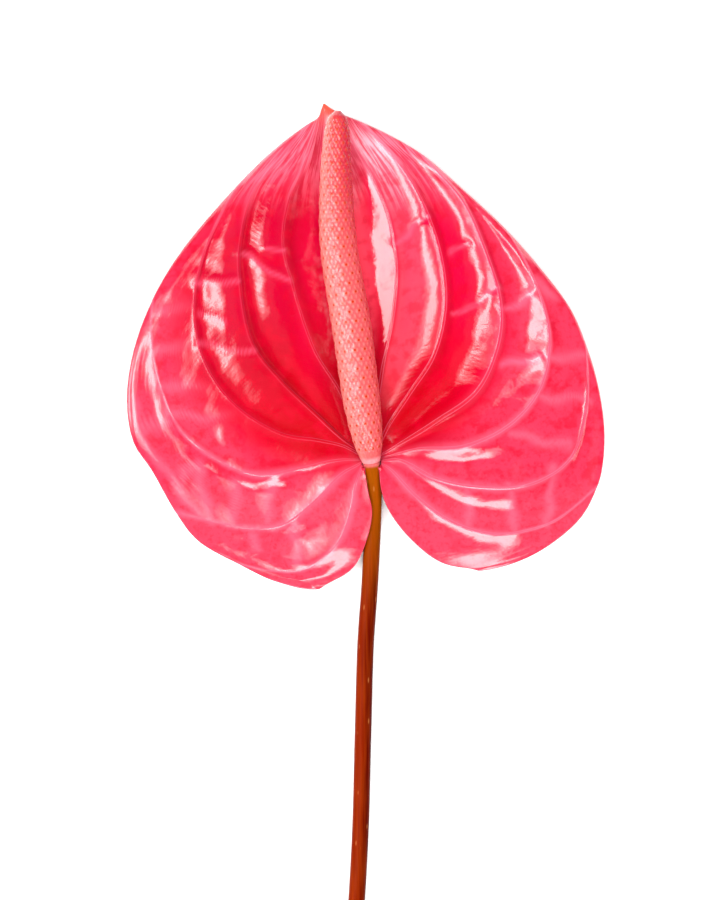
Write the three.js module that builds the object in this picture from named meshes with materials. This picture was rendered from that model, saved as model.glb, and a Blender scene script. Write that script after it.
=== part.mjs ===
// A cut anthurium: one spathe, one spadix and one peduncle, lying on its back.
// Millimetres. +Z points up from the surface it lies on, +Y from the cut end to the tip.
// It is laid out about the joint where the three pieces meet, and moved at the end so
// that its origin is in the middle of its base.

import * as THREE from 'three';

// ---- driving dimensions ---------------------------------------------------------

const PEDUNCLE_RADIUS = 2.3;
const PEDUNCLE_SIDES = 16;
const PEDUNCLE_ROWS = 56;
const CUT_SLANT = 0.45; // how far the cut end leans, per millimetre across it
const PEDUNCLE_PATH = [
  [0.1, 0.4, 5.1],
  [0.7, -7.4, 3.8],
  [0.5, -17, 3.1],
  [-0.4, -35, 2.6],
  [-1.4, -49, 2.4],
  [-2.2, -76, 2.33],
  [-3, -104, 2.33],
  [-5, -135, 2.33],
  [-9, -175, 2.33],
  [-14, -220, 2.33],
  [-18.5, -262, 2.33],
  [-22, -300, 2.33],
];

// The spadix starts half a millimetre past the peduncle's end, inside the collar.
const SPADIX_PATH = [
  [0.05, 0.9, 5.3],
  [-1.1, 8, 7.5],
  [-2.6, 17.5, 8.1],
  [-5.4, 38, 8.5],
  [-8.9, 60, 9.3],
  [-9.6, 80, 10.2],
  [-9.1, 96.6, 11.2],
];
const SPADIX_RADII = [
  // share of the length, radius
  [0, 2.7],
  [0.04, 3.7],
  [0.1, 4.7],
  [0.18, 5.3],
  [0.4, 5.6],
  [0.65, 5.2],
  [0.85, 4.2],
  [0.94, 3.3],
  [0.985, 1.9],
  [1, 0.7],
];
const FLORETS_ROUND = 12; // florets in one turn
const ROW_PITCH = 0.45; // from row to row, as a share of the radius there
const FINEST_RADIUS = 2.2; // where it is thinner than this the rows come no closer
const FLORET_HEIGHT = 0.42;
const FULL_FLORET_RADIUS = 4; // florets are lower where the spadix is thinner than this

const BLADE_THICKNESS = 0.9; // at the rim
const BLADE_BASE_EXTRA = 0.5; // added where it clasps the peduncle
const COLLAR_FADE = 6; // how quickly that extra thins out
const COLLAR = { x: 0.2, y: 0.3, across: 3.5, along: 2.8, low: 1.5, high: 6.5, bend: 1.6, heading: 128 };
const TIP = [-12.9, 99.2, 1.6];

// The rim runs from the notch beside the peduncle round the lobe to the tip.
const LEFT_RIM = [
  collarPoint(-COLLAR.heading),
  [-0.7, -8, 7],
  [0.3, -13.5, 6.6],
  [-1.1, -20.9, 6.3],
  [-5, -28.9, 4.2],
  [-14.5, -34.6, 1.4],
  [-26, -32.6, -0.6],
  [-37, -27.3, 0.2],
  [-48.1, -20.9, 1],
  [-53.8, -13.5, 1.6],
  [-60.5, -1.6, 2.2],
  [-65.4, 6, 2.6],
  [-67.1, 17.3, 3],
  [-65.2, 31, 3.3],
  [-59.8, 45.3, 3.6],
  [-51.7, 58.6, 3.8],
  [-36.4, 76.5, 3.4],
  [-26.7, 86, 2.6],
  [-17.4, 93.2, 1.8],
  [-14.2, 95.4, 1.6],
  [-13.3, 97.6, 1.6],
  TIP,
];
const RIGHT_RIM = [
  collarPoint(COLLAR.heading),
  [2.9, -7.5, 6.4],
  [5.2, -13.4, 6.2],
  [11, -21, 4],
  [19.5, -27.4, 1],
  [30, -29.4, -0.6],
  [44.5, -25.2, 0.6],
  [57.5, -15.3, 1.6],
  [62.3, -6.3, 2.3],
  [63.8, 0, 2.8],
  [64.1, 10, 3.4],
  [62.2, 22, 4],
  [58.8, 33, 4.4],
  [54.5, 42.7, 4.8],
  [46.5, 53.4, 4.9],
  [36.5, 64.6, 4.8],
  [25, 75.3, 4.5],
  [14, 84.8, 3.8],
  [5, 90.2, 3],
  [-3, 94, 2.2],
  [-8.6, 96.4, 1.8],
  [-11.4, 98, 1.6],
  TIP,
];

// The main veins fan out from the collar. heading is where one leaves the collar, in
// degrees from the midrib, through is its course and meets is the rim point it reaches.
const LEFT_VEINS = [
  {
    heading: -116,
    through: [
      [-4.2, -6, 6.6],
      [-5.5, -12.9, 6.2],
      [-9.4, -22.3, 4.6],
      [-18.4, -29.2, 2.2],
      [-27, -29.5, 1.4],
    ],
    meets: 7,
  },
  {
    heading: -102,
    through: [
      [-8, -3, 6.3],
      [-16.2, -11, 5.6],
      [-24.2, -16.8, 4.3],
      [-33.3, -17.8, 3.6],
      [-44, -15.8, 2.7],
    ],
    meets: 9,
  },
  {
    heading: -84,
    through: [
      [-9.4, 0.7, 5.8],
      [-19.3, -1.4, 6.2],
      [-30.8, -3.3, 6.2],
      [-41, 0.3, 5.6],
      [-52, 8.8, 5],
      [-58, 22, 5],
      [-60.3, 35, 4.8],
    ],
    meets: 14,
  },
  {
    heading: -64,
    through: [
      [-8, 4.6, 4.8],
      [-14.3, 6.1, 5.4],
      [-24.8, 8, 6],
      [-37.7, 16, 6.2],
      [-46, 28, 6],
      [-48.8, 43, 5.6],
      [-46.3, 57, 5.4],
      [-42, 67, 5],
    ],
    meets: 16,
  },
  {
    heading: -46,
    through: [
      [-7.6, 6.2, 4.3],
      [-14.9, 12.9, 5.2],
      [-25, 22.6, 6],
      [-32.7, 32.7, 6.2],
      [-36.3, 50, 6],
      [-36, 62, 5.6],
      [-32.5, 75, 4.8],
      [-24.5, 85, 3.6],
    ],
    meets: 18,
  },
  {
    heading: -24,
    through: [
      [-4.2, 9, 2.8],
      [-8.8, 19.8, 3],
      [-15.7, 31.1, 3.2],
      [-21.7, 49, 4.4],
      [-24.4, 61, 4.8],
      [-22.6, 73, 4.4],
      [-18.5, 83, 3.4],
    ],
    meets: 19,
  },
];
const MIDRIB = {
  heading: 0,
  through: [
    [-2.5, 17, 1.6],
    [-5.4, 38, 1.4],
    [-8.9, 60, 1],
    [-11.8, 80, -0.2],
    [-12.6, 92, 0.6],
  ],
};
const RIGHT_VEINS = [
  {
    heading: 18,
    through: [
      [1.2, 9, 2.6],
      [3.2, 25.5, 3.6],
      [6.1, 40, 4.2],
      [7.1, 54, 4.4],
      [4.7, 68.5, 4.2],
      [0.4, 78.5, 3.8],
      [-4.9, 88.3, 3],
    ],
    meets: 20,
  },
  {
    heading: 36,
    through: [
      [4.7, 9.9, 3.8],
      [10.7, 19.3, 4.8],
      [17.2, 29.5, 5.8],
      [20.4, 43, 6.2],
      [19.2, 56.7, 6.2],
      [14.8, 70, 5.6],
      [7.5, 82.7, 4.4],
    ],
    meets: 19,
  },
  {
    heading: 56,
    through: [
      [6.6, 4.3, 4.2],
      [17.6, 11.3, 5.6],
      [29.2, 20, 6.6],
      [35, 33, 7],
      [35.6, 44, 7],
      [31, 59.4, 6.8],
      [25.2, 72, 5.8],
    ],
    meets: 17,
  },
  {
    heading: 74,
    through: [
      [12.7, 3.6, 6],
      [26.1, 4.7, 7.4],
      [38, 10.5, 7.8],
      [46.2, 20, 7.8],
      [49.1, 33, 7.6],
      [47, 44.5, 7],
      [42, 56, 6.2],
    ],
    meets: 15,
  },
  {
    heading: 92,
    through: [
      [8.3, 0.6, 5.8],
      [18.2, -4.4, 6.4],
      [29.2, -6.6, 6.4],
      [42.9, -6, 5.8],
      [54.4, 0.8, 5.2],
      [59, 14, 4.8],
      [59.5, 25, 4.6],
    ],
    meets: 12,
  },
  {
    heading: 110,
    through: [
      [5.2, -1.7, 5.8],
      [12.4, -9.1, 5.8],
      [22.5, -16.2, 4.4],
      [34.9, -19.5, 3.2],
      [49, -16.6, 2.5],
      [57, -11.2, 2.1],
    ],
    meets: 8,
  },
];
const LEFT_CORNER = 5; // the rim point where each lobe's notch side is taken to end
const RIGHT_CORNER = 5;

// Between two veins the blade is hollowed, by a share of the panel's width, and deepest
// where PANEL_TROUGHS says, as a share of the way across.
const PANEL_HOLLOWS = [0.06, 0.08, 0.11, 0.06, 0.12, 0.15, 0.07, 0.03, 0.08, 0.12, 0.12, 0.08, 0.11, 0.06];
const PANEL_TROUGHS = [0.5, 0.5, 0.45, 0.6, 0.2, 0.22, 0.4, 0.5, 0.58, 0.55, 0.58, 0.5, 0.55, 0.5];
const WIDEST_HOLLOW = 15; // panels wider than this are hollowed no deeper
const VEIN_HEIGHT = 0.3;
const VEIN_HALF_WIDTH = 0.8;
const COLUMNS_IN_PANEL = [0, 0.12, 0.37, 0.63, 0.88];
const BLADE_ROWS = 40;
const ROW_CROWDING = 1.2; // above 1 the rows lie closer together towards the rim
const RIM_PULL_START = 0.35; // how far along the blade the rim's own outline takes over

// The raised cross veins, as courses in plan.
const CROSS_VEINS = [
  [[-47, 41.3], [-40.2, 38.8]],
  [[-47.5, 33], [-44, 33.3], [-38.2, 31], [-32.7, 31]],
  [[-48, 50.3], [-41.5, 49.2], [-36.5, 50.5]],
  [[-28.3, 59.4], [-24.2, 58.6]],
  [[-35.5, 57.5], [-33.3, 56.7], [-27.5, 51.7], [-22.5, 51]],
  [[-57.8, 20.9], [-44, 21.5]],
  [[-55.5, 14.5], [-52.5, 13.5], [-43, 12.4], [-37.7, 14.3]],
  [[-63.3, 9.9], [-55.6, 11]],
  [[-52, -3], [-47.6, 0.8]],
  [[-37.1, -5], [-37.4, -16]],
  [[-32.2, -19.3], [-31.4, -24.2]],
  [[22.3, 58], [27.2, 61]],
  [[22, 40.5], [26.1, 42.1], [30.5, 45.1], [34.1, 48.1]],
  [[37.1, 42.1], [45.4, 46.5]],
  [[36, 27.2], [46.5, 28.9]],
  [[7.7, 60.5], [15.1, 67.9]],
  [[8.8, 49.5], [16.8, 50]],
  [[46.5, 18.2], [60.8, 17.3]],
  [[38.5, 8.8], [47.3, 5.8], [54.7, 5]],
  [
    [-65.5, 18.2],
    [-63.8, 11.8],
    [-63, 5.8],
    [-60.5, 1.9],
    [-55.6, -3],
    [-52.5, -8],
    [-46.5, -15.4],
  ],
];
const CROSS_VEIN_HEIGHT = 0.5;
const CROSS_VEIN_HALF_WIDTH = 1.8;
const CROSS_VEIN_RISE = [0.05, 0.3]; // they rise over this stretch of the blade
const CROSS_VEIN_FALL = [0.9, 1]; // and sink again over this one

// ---- small tools -----------------------------------------------------------------

function collarPoint(heading) {
  const turn = THREE.MathUtils.degToRad(heading);
  const rise = (Math.abs(heading) / COLLAR.heading) ** COLLAR.bend;
  return [
    COLLAR.x + COLLAR.across * Math.sin(turn),
    COLLAR.y + COLLAR.along * Math.cos(turn),
    THREE.MathUtils.lerp(COLLAR.low, COLLAR.high, rise),
  ];
}

function smoothCurve(vectors) {
  return new THREE.CatmullRomCurve3(vectors, false, 'centripetal');
}

function curveThrough(points) {
  return smoothCurve(points.map(([x, y, z]) => new THREE.Vector3(x, y, z)));
}

function readTable(table, at) {
  const next = Math.max(1, table.findIndex(([key]) => key >= at));
  const [fromKey, fromValue] = table[next - 1];
  const [toKey, toValue] = table[next];
  return THREE.MathUtils.mapLinear(at, fromKey, toKey, fromValue, toValue);
}

function meshFrom(name, points, triangles, material) {
  const geometry = new THREE.BufferGeometry();
  const corners = points.flatMap((point) => point.toArray());
  geometry.setAttribute('position', new THREE.Float32BufferAttribute(corners, 3));
  geometry.setIndex(triangles.flat());
  geometry.computeVertexNormals();
  const mesh = new THREE.Mesh(geometry, material);
  mesh.name = name;
  return mesh;
}

// Two triangles for the cell between points a-b and c-d of the next row.
function splitCell(a, b, c, d, alongFirst) {
  return alongFirst ? [[a, b, d], [a, d, c]] : [[a, b, c], [b, d, c]];
}

// ---- peduncle and spadix: round pieces swept along a path ----------------------------

function ringAt(path, share, sides, radiusAt) {
  const centre = path.getPointAt(share);
  const along = path.getTangentAt(share);
  const side = new THREE.Vector3().crossVectors(new THREE.Vector3(0, 0, 1), along).normalize();
  const up = new THREE.Vector3().crossVectors(along, side);
  return Array.from({ length: sides }, (_, step) => {
    const turn = (2 * Math.PI * step) / sides;
    const radius = radiusAt(step);
    return centre
      .clone()
      .addScaledVector(side, radius * Math.cos(turn))
      .addScaledVector(up, radius * Math.sin(turn));
  });
}

function sweep(rings, alongFirst) {
  const sides = rings[0].length;
  const points = rings.flat();
  const triangles = [];
  for (let row = 0; row + 1 < rings.length; row += 1) {
    for (let step = 0; step < sides; step += 1) {
      const next = (step + 1) % sides;
      const [a, b] = [row * sides + step, row * sides + next];
      triangles.push(...splitCell(a, b, a + sides, b + sides, alongFirst(row, step)));
    }
  }
  const lastRow = (rings.length - 1) * sides;
  for (let step = 1; step + 1 < sides; step += 1) {
    triangles.push([0, step + 1, step], [lastRow, lastRow + step, lastRow + step + 1]);
  }
  return { points, triangles };
}

function makePeduncle() {
  const path = curveThrough(PEDUNCLE_PATH);
  const rings = [];
  for (let row = 0; row <= PEDUNCLE_ROWS; row += 1) {
    rings.push(ringAt(path, row / PEDUNCLE_ROWS, PEDUNCLE_SIDES, () => PEDUNCLE_RADIUS));
  }
  const cut = rings[PEDUNCLE_ROWS];
  for (const point of cut) {
    point.y -= CUT_SLANT * (PEDUNCLE_RADIUS * 2 - point.z);
  }
  const { points, triangles } = sweep(rings, () => true);
  const russet = new THREE.MeshStandardMaterial({ color: 0xa04a10, roughness: 0.4 });
  return meshFrom('peduncle', points, triangles, russet);
}

// Where along the spadix its rows of florets lie, closer together where it is thinner.
function floretShares(length) {
  const shares = [];
  let share = 0;
  while (share < 1) {
    shares.push(share);
    const radius = Math.max(readTable(SPADIX_RADII, share), FINEST_RADIUS);
    share += (ROW_PITCH * radius) / length;
  }
  return [...shares, 1];
}

function makeSpadix() {
  const path = curveThrough(SPADIX_PATH);
  const sides = FLORETS_ROUND * 2;
  const rings = floretShares(path.getLength()).map((share, row) => {
    const radius = readTable(SPADIX_RADII, share);
    const isEnd = share === 0 || share === 1;
    const height = isEnd ? 0 : FLORET_HEIGHT * Math.min(1, radius / FULL_FLORET_RADIUS);
    return ringAt(path, share, sides, (step) => radius - height * ((row + step) % 2));
  });
  const { points, triangles } = sweep(rings, (row, step) => (row + step) % 2 === 1);
  const salmon = new THREE.MeshStandardMaterial({ color: 0xff8a7a, roughness: 0.55 });
  return meshFrom('spadix', points, triangles, salmon);
}

// ---- spathe ------------------------------------------------------------------------

function veinPath(vein, rim) {
  const end = rim ? rim[vein.meets] : TIP;
  return curveThrough([collarPoint(vein.heading), ...vein.through, end]);
}

// The paths from the left notch round to the right one, the midrib in the middle.
function bladePaths() {
  return [
    curveThrough(LEFT_RIM.slice(0, LEFT_CORNER + 1)),
    ...LEFT_VEINS.map((vein) => veinPath(vein, LEFT_RIM)),
    veinPath(MIDRIB),
    ...RIGHT_VEINS.map((vein) => veinPath(vein, RIGHT_RIM)),
    curveThrough(RIGHT_RIM.slice(0, RIGHT_CORNER + 1)),
  ];
}

// The rim's point for a place across the blade, counted in panels from the left notch.
function makeRimReader() {
  const leftStops = [LEFT_CORNER, ...LEFT_VEINS.map((vein) => vein.meets), LEFT_RIM.length - 1];
  const rightStops = [RIGHT_RIM.length - 1, ...RIGHT_VEINS.map((vein) => vein.meets), RIGHT_CORNER];
  const leftCurve = curveThrough(LEFT_RIM);
  const rightCurve = curveThrough(RIGHT_RIM);
  return (panel, share) => {
    const onLeft = panel < LEFT_VEINS.length + 1;
    const stops = onLeft ? leftStops : rightStops;
    const first = onLeft ? panel : panel - LEFT_VEINS.length - 1;
    const place = THREE.MathUtils.lerp(stops[first], stops[first + 1], share);
    const curve = onLeft ? leftCurve : rightCurve;
    return curve.getPoint(place / (curve.points.length - 1));
  };
}

function panelRelief(panel, share, along, width) {
  const rise = THREE.MathUtils.smoothstep(along, 0.02, 0.25);
  const fall = 1 - 0.8 * THREE.MathUtils.smoothstep(along, 0.75, 1);
  const trough = PANEL_TROUGHS[panel];
  const before = Math.max(1, trough / (1 - trough));
  const after = Math.max(1, (1 - trough) / trough);
  const bow = (share / trough) ** before * ((1 - share) / (1 - trough)) ** after;
  const depth = PANEL_HOLLOWS[panel] * Math.min(width, WIDEST_HOLLOW) * rise * fall;
  const toVein = Math.min(share, 1 - share) * width;
  const lastPanel = PANEL_HOLLOWS.length - 1;
  const besideNotch = share < 0.5 ? panel === 0 : panel === lastPanel;
  const cord = VEIN_HEIGHT * rise * fall * Math.exp(-((toVein / VEIN_HALF_WIDTH) ** 2));
  return (besideNotch ? 0 : cord) - depth * bow;
}

function crossRelief(point, along) {
  const place = new THREE.Vector3(point.x, point.y, 0);
  const nearest = new THREE.Vector3();
  let away = Infinity;
  for (const course of CROSS_VEINS) {
    for (let step = 0; step + 1 < course.length; step += 1) {
      const [from, to] = [course[step], course[step + 1]].map(([x, y]) => new THREE.Vector3(x, y, 0));
      new THREE.Line3(from, to).closestPointToPoint(place, true, nearest);
      away = Math.min(away, nearest.distanceTo(place));
    }
  }
  const rise = THREE.MathUtils.smoothstep(along, ...CROSS_VEIN_RISE);
  const fall = 1 - THREE.MathUtils.smoothstep(along, ...CROSS_VEIN_FALL);
  return CROSS_VEIN_HEIGHT * rise * fall * Math.exp(-((away / CROSS_VEIN_HALF_WIDTH) ** 2));
}

// The middle of the blade's thickness, as rows of points from the collar to the rim.
function bladeRows() {
  const paths = bladePaths();
  const rimAt = makeRimReader();
  const panels = paths.length - 1;
  const ends = smoothCurve(paths.map((path) => path.getPointAt(1)));
  const rows = [];
  for (let row = 0; row <= BLADE_ROWS; row += 1) {
    const along = 1 - (1 - row / BLADE_ROWS) ** ROW_CROWDING;
    const toRim = Math.max(0, (along - RIM_PULL_START) / (1 - RIM_PULL_START)) ** 2;
    const onPaths = paths.map((path) => path.getPointAt(along));
    const across = smoothCurve(onPaths);
    const points = [];
    for (let panel = 0; panel < panels; panel += 1) {
      const width = onPaths[panel].distanceTo(onPaths[panel + 1]);
      const shares = panel === panels - 1 ? [...COLUMNS_IN_PANEL, 1] : COLUMNS_IN_PANEL;
      for (const share of shares) {
        const place = (panel + share) / panels;
        const point = across.getPoint(place);
        const pull = rimAt(panel, share).sub(ends.getPoint(place));
        point.addScaledVector(pull, toRim);
        point.z += panelRelief(panel, share, along, width);
        point.z += crossRelief(point, along);
        points.push(point);
      }
    }
    rows.push(points);
  }
  return rows;
}

function bladeNormal(rows, row, column) {
  const nextRow = rows[Math.min(row + 1, rows.length - 1)];
  const lastRow = rows[Math.max(row - 1, 0)];
  const line = rows[row];
  const along = nextRow[column].clone().sub(lastRow[column]);
  const across = line[Math.min(column + 1, line.length - 1)].clone().sub(line[Math.max(column - 1, 0)]);
  return across.cross(along).normalize();
}

function makeSpathe() {
  const rows = bladeRows();
  const columns = rows[0].length;
  const top = [];
  const bottom = [];
  rows.forEach((line, row) => {
    const nearCollar = (1 - row / BLADE_ROWS) ** COLLAR_FADE;
    const half = (BLADE_THICKNESS + BLADE_BASE_EXTRA * nearCollar) / 2;
    line.forEach((point, column) => {
      const normal = bladeNormal(rows, row, column);
      const lift = Math.max(0, half - point.z);
      const middle = point.clone().setZ(point.z + lift);
      top.push(middle.clone().addScaledVector(normal, half));
      const under = middle.clone().addScaledVector(normal, -half);
      under.z = lift > 0 ? 0 : Math.max(0, under.z);
      bottom.push(under);
    });
  });
  const faces = [];
  for (let row = 0; row < BLADE_ROWS; row += 1) {
    for (let column = 0; column + 1 < columns; column += 1) {
      const a = row * columns + column;
      faces.push(...splitCell(a, a + 1, a + columns, a + columns + 1, column % 2 === 0));
    }
  }
  const below = top.length;
  const triangles = faces.flatMap(([a, b, c]) => [[a, b, c], [a + below, c + below, b + below]]);
  const edge = edgeLoop(BLADE_ROWS + 1, columns);
  edge.forEach((from, index) => {
    const to = edge[(index + 1) % edge.length];
    triangles.push([from, from + below, to], [to, from + below, to + below]);
  });
  const red = new THREE.MeshStandardMaterial({ color: 0xf5304f, roughness: 0.15 });
  return meshFrom('spathe', [...top, ...bottom], triangles, red);
}

// The grid's border, in the order in which its cells run round.
function edgeLoop(rows, columns) {
  const loop = [];
  for (let column = 0; column < columns; column += 1) loop.push(column);
  for (let row = 1; row < rows; row += 1) loop.push(row * columns + columns - 1);
  for (let column = columns - 2; column >= 0; column -= 1) loop.push((rows - 1) * columns + column);
  for (let row = rows - 2; row > 0; row -= 1) loop.push(row * columns);
  return loop;
}

// ---- the flower ----------------------------------------------------------------------

const flower = new THREE.Group();
flower.add(makePeduncle(), makeSpathe(), makeSpadix());
flower.updateMatrixWorld(true);
const box = new THREE.Box3().setFromObject(flower, true);
const middle = box.getCenter(new THREE.Vector3());
flower.position.set(-middle.x, -middle.y, -box.min.z);

export default flower;
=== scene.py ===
"""A cut anthurium lying on its back: glossy spathe, salmon spadix and russet peduncle.

The layout is in millimetres about the joint where the three pieces meet, +Y towards the
tip and +Z up. Each piece is moved to its place in the part's own frame at the end.
"""

import math

import bmesh
import bpy
import numpy as np
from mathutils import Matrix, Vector


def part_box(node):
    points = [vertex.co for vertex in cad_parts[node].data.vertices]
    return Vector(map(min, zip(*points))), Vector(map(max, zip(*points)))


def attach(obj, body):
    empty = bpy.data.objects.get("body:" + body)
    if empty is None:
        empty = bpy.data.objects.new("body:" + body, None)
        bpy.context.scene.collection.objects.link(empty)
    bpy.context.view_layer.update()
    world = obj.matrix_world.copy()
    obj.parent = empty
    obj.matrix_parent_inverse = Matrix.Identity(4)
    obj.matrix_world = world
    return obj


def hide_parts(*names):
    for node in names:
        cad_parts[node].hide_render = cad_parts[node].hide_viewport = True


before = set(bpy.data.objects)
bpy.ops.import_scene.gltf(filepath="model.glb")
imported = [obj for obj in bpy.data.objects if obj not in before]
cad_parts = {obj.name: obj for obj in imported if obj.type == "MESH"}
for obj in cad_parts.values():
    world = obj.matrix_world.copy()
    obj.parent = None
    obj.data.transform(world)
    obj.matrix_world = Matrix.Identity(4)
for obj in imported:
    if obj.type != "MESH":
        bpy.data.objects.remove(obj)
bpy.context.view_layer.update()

MM = 0.001

# ---- the camera and the light -------------------------------------------------------

SENSOR = 36  # millimetres, as is the lens
VIEW_MIDDLE = (-3, 3.6)  # layout point under the middle of the view, in millimetres
FLOWER_LEVEL = 6  # height at which the view's scale is taken, in millimetres
# The rest is in metres.
CAMERA_HEIGHT = 1.5
VIEW_HEIGHT = 0.2475  # seen from top to bottom at the flower
FLOOR_REACH = 3  # from its middle to each side
FLOOR_DROP = 0.0002  # how far the floor lies under the flower
LIGHTS_AIM = (0, 0.1, 0)
# How much wider each layer of a softbox is, and its share of the brightness.
SOFT_EDGE = [(0, 0.5), (0.1, 0.27), (0.24, 0.16), (0.45, 0.07)]
CRISP_EDGE = [(0, 0.6), (0.08, 0.25), (0.2, 0.15)]
WIDE_EDGE = [(0, 0.3), (0.18, 0.3), (0.36, 0.25), (0.6, 0.15)]

# ---- the driving sizes --------------------------------------------------------------

PEDUNCLE_RADIUS = 2.3
PEDUNCLE_MESH = (260, 49)  # its rows and columns
CUT_SLANT = 0.45  # how far the cut leans along the stalk, for each millimetre of height
CUT_REACH = 2  # how much of the stalk's end the slant draws out
PEDUNCLE_PATH = [
    (0.1, 0.4, 5.1),
    (0.7, -7.4, 3.8),
    (0.5, -17, 3.1),
    (-0.4, -35, 2.6),
    (-1.4, -49, 2.4),
    (-2.2, -76, 2.33),
    (-3, -104, 2.33),
    (-5, -135, 2.33),
    (-9, -175, 2.33),
    (-14, -220, 2.33),
    (-18.5, -262, 2.33),
    (-22, -300, 2.33),
]

SPADIX_PATH = [
    (0.08, 0.5, 5.2),
    (-1.1, 8, 7.5),
    (-2.6, 17.5, 8.1),
    (-5.4, 38, 8.5),
    (-8.9, 60, 9.3),
    (-9.6, 80, 10.2),
    (-9.1, 96.6, 11.2),
]
SPADIX_SHARES = [0, 0.04, 0.1, 0.18, 0.4, 0.65, 0.85, 0.94, 0.985, 1]
SPADIX_RADII = [2.7, 3.8, 4.7, 5.3, 5.6, 5.2, 4.3, 3.6, 2.5, 0.9]
FLORETS_ROUND = 12
FLORET_ROWS = 44  # rows of florets, each half a floret round from the last
FLORET_STEPS = 14  # columns of the mesh across each floret
SPADIX_MESH_ROWS = 560
CLOSEST_ROWS_AT = 2.2  # the rows stand closest where the radius is this or less
FLORETS_FROM = (0.02, 0.05)  # where they begin and end, as shares of the spadix
FLORETS_TO = (0.965, 0.99)
UPPER_PART = (0.45, 0.85)  # where they turn coarser towards the tip
FLORET_BED = 0.15  # how far the spadix's bare skin lies under its given radii
DOME_HEIGHT = 0.1
TEPAL_HEIGHT = 0.06
UPPER_TEPAL_EXTRA = 0.04
STIGMA_RADIUS = 0.46
STIGMA_HEIGHT = 0.16
UPPER_STIGMA_EXTRA = 0.05

BLADE_THICKNESS = 0.9
BLADE_BASE_EXTRA = 0.5  # how much thicker it is at the collar
COLLAR_FADE = 6  # how fast that fades, as a power
# The blade leaves the joint round a small oval, lowest at the midrib.
COLLAR_MIDDLE = (0.2, 0.3)
COLLAR_ACROSS = 2.6
COLLAR_ALONG = 2.4
COLLAR_LOW = 1.5
COLLAR_HIGH = 6.5
COLLAR_BEND = 1.6
COLLAR_HEADING = 128  # the heading of the notch's edges, in degrees from the midrib
TIP = (-12.9, 99.2, 1.6)


def collar_point(heading):
    """The point where a path leaves the collar, for a heading in degrees from the midrib."""
    turn = math.radians(heading)
    rise = (abs(heading) / COLLAR_HEADING) ** COLLAR_BEND
    return (
        COLLAR_MIDDLE[0] + COLLAR_ACROSS * math.sin(turn),
        COLLAR_MIDDLE[1] + COLLAR_ALONG * math.cos(turn),
        COLLAR_LOW + (COLLAR_HIGH - COLLAR_LOW) * rise,
    )


LEFT_RIM = [
    collar_point(-COLLAR_HEADING),
    (-0.7, -8, 7),
    (0.3, -13.5, 6.5),
    (-1.1, -20.9, 5.7),
    (-5, -28.9, 3.3),
    (-14.5, -34.6, 0.8),
    (-26, -32.6, -0.6),
    (-37, -27.3, 0.2),
    (-48.1, -20.9, 1),
    (-53.8, -13.5, 1.6),
    (-60.5, -1.6, 2.8),
    (-65.4, 6, 3.9),
    (-67.1, 17.3, 4.6),
    (-65.2, 31, 4.8),
    (-59.8, 45.3, 4.5),
    (-51.7, 58.6, 3.8),
    (-36.4, 76.5, 3.4),
    (-26.7, 86, 2.6),
    (-17.4, 93.2, 1.8),
    (-14.2, 95.4, 1.6),
    (-13.3, 97.6, 1.6),
    TIP,
]
RIGHT_RIM = [
    collar_point(COLLAR_HEADING),
    (2.9, -7.5, 6.4),
    (5.2, -13.4, 6.2),
    (11, -21, 4.6),
    (19.5, -27.4, 2.2),
    (30, -29.4, 0.4),
    (44.5, -25.2, 0.8),
    (57.5, -15.3, 1.6),
    (62.3, -6.3, 2.3),
    (63.8, 0, 2.8),
    (64.1, 10, 3.4),
    (62.2, 22, 4),
    (58.8, 33, 4.4),
    (54.5, 42.7, 4.8),
    (46.5, 53.4, 4.9),
    (36.5, 64.6, 4.8),
    (25, 75.3, 4.5),
    (14, 84.8, 3.8),
    (5, 90.2, 3),
    (-3, 94, 2.2),
    (-8.6, 96.4, 1.8),
    (-11.4, 98, 1.6),
    TIP,
]
RIM_CORNER = 5  # the rim point where each lobe's notch side is taken to end

# Heading at the collar, the course, and the rim point that the vein reaches.
LEFT_VEINS = [
    (
        -116,
        [(-4.2, -6, 6.6), (-5.5, -12.9, 6.2), (-9.4, -22.3, 5), (-18.4, -29.2, 2.5), (-27, -29.5, 1.4)],
        7,
    ),
    (
        -102,
        [(-8, -3, 6.3), (-16.2, -11, 5.6), (-24.2, -16.8, 4.3), (-33.3, -17.8, 3.6), (-44, -15.8, 2.7)],
        9,
    ),
    (
        -84,
        [
            (-9.4, 0.7, 5.8),
            (-19.3, -1.4, 6.2),
            (-30.8, -3.3, 6.2),
            (-41, 0.3, 5.6),
            (-52, 8.8, 5.4),
            (-58, 22, 5.5),
            (-60.3, 35, 5.2),
        ],
        14,
    ),
    (
        -64,
        [
            (-8, 4.6, 4.8),
            (-14.3, 6.1, 5.4),
            (-24.8, 8, 6),
            (-37.7, 16, 6.2),
            (-46, 28, 6),
            (-48.8, 43, 5.6),
            (-46.3, 57, 5.4),
            (-42, 67, 5),
        ],
        16,
    ),
    (
        -46,
        [
            (-7.6, 6.2, 4.3),
            (-14.9, 12.9, 5.2),
            (-25, 22.6, 6),
            (-32.7, 32.7, 6.2),
            (-36.3, 50, 6),
            (-36, 62, 5.6),
            (-32.5, 75, 4.8),
            (-24.5, 85, 3.6),
        ],
        18,
    ),
    (
        -24,
        [
            (-4.2, 9, 2.8),
            (-8.8, 19.8, 3),
            (-15.7, 31.1, 2.9),
            (-21.7, 49, 3.8),
            (-24.4, 61, 4.2),
            (-22.6, 73, 3.5),
            (-18.5, 83, 2.6),
        ],
        19,
    ),
]
MIDRIB = [(-2.5, 17, 1.6), (-5.4, 38, 1.7), (-8.9, 60, 1.5), (-11.8, 80, 0.5), (-12.6, 92, 0.6)]
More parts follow.
